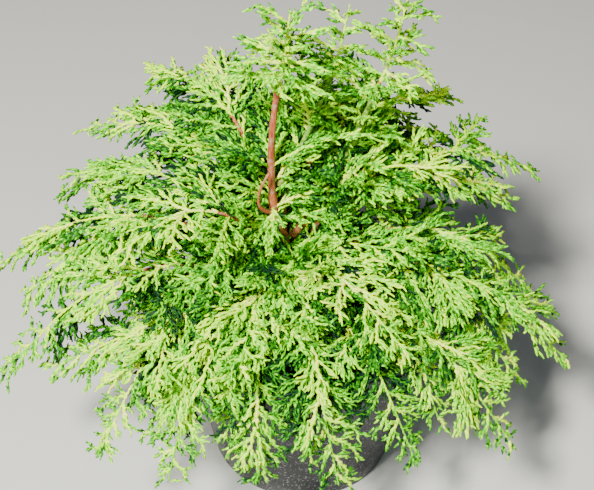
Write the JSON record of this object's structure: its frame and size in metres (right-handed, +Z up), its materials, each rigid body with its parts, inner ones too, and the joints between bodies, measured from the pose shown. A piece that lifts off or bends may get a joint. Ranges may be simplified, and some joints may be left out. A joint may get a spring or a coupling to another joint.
{
  "type": "potted conifer",
  "caption": "Young spreading dwarf false cypress with arching boughs and open fans of scale-clad shoots, in a round black nursery pot",
  "frame": {"origin": "centre of the pot's flat underside, on the surface it stands on", "axes": "+Z is up, along the pot's axis; +X runs along the widest spread of the boughs, to the side that the taller leader leans to; +Y runs to the side with the shorter boughs behind the leaders"},
  "size_m": [0.3703, 0.2743, 0.352],
  "materials": {
    "pot": "moulded black polypropylene, dusty",
    "compost": "loose dark bark compost",
    "bark": "red-brown bark, peeling",
    "foliage": "lime to deep green scale leaves"
  },
  "bodies": {
    "root": {"compost": "compost", "inner_foliage_01": "foliage", "inner_foliage_02": "foliage", "inner_foliage_03": "foliage", "inner_foliage_04": "foliage", "inner_foliage_05": "foliage", "leader_left": "bark", "leader_right": "bark", "middle_bough_01": "bark", "middle_bough_02": "bark", "middle_bough_03": "bark", "middle_bough_04": "bark", "middle_bough_05": "bark", "middle_bough_06": "bark", "middle_bough_07": "bark", "middle_foliage_01": "foliage", "middle_foliage_02": "foliage", "middle_foliage_03": "foliage", "middle_foliage_04": "foliage", "middle_foliage_05": "foliage", "middle_foliage_06": "foliage", "middle_foliage_07": "foliage", "pot": "pot", "skirt_bough_01": "bark", "skirt_bough_02": "bark", "skirt_bough_03": "bark", "skirt_bough_04": "bark", "skirt_bough_05": "bark", "skirt_bough_06": "bark", "skirt_bough_07": "bark", "skirt_bough_08": "bark", "skirt_bough_09": "bark", "skirt_bough_10": "bark", "skirt_bough_11": "bark", "skirt_bough_12": "bark", "skirt_bough_13": "bark", "skirt_bough_14": "bark", "skirt_bough_15": "bark", "skirt_bough_16": "bark", "skirt_foliage_01": "foliage", "skirt_foliage_02": "foliage", "skirt_foliage_03": "foliage", "skirt_foliage_04": "foliage", "skirt_foliage_05": "foliage", "skirt_foliage_06": "foliage", "skirt_foliage_07": "foliage", "skirt_foliage_08": "foliage", "skirt_foliage_09": "foliage", "skirt_foliage_10": "foliage", "skirt_foliage_11": "foliage", "skirt_foliage_12": "foliage", "skirt_foliage_13": "foliage", "skirt_foliage_14": "foliage", "skirt_foliage_15": "foliage", "skirt_foliage_16": "foliage", "top_bough": "bark", "top_foliage_left": "foliage", "top_foliage_middle": "foliage", "top_foliage_right": "foliage", "trunk": "bark"}
  },
  "joints": []
}
